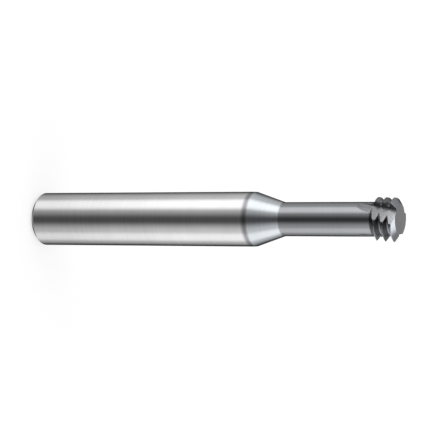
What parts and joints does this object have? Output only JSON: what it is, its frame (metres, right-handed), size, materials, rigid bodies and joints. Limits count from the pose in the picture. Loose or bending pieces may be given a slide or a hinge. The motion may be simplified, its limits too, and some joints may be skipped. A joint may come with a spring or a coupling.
{
  "type": "thread mill",
  "caption": "Solid carbide thread mill: round shank, cone and slim neck, and a relieved, fluted cutting head with full rings of V-shaped teeth.",
  "frame": {"origin": "centre of the shank's back face, which the tool stands on", "axes": "+Z along the tool axis from the back face to the cutting tip; the first cutting edge is at an azimuth of 109 degrees at the tip, from +X towards +Y"},
  "size_m": [0.01, 0.01, 0.073],
  "materials": {
    "ground_carbide": "fine ground, bright, with grinding marks round the axis"
  },
  "bodies": {
    "root": {"thread_mill": "ground_carbide"}
  },
  "joints": []
}
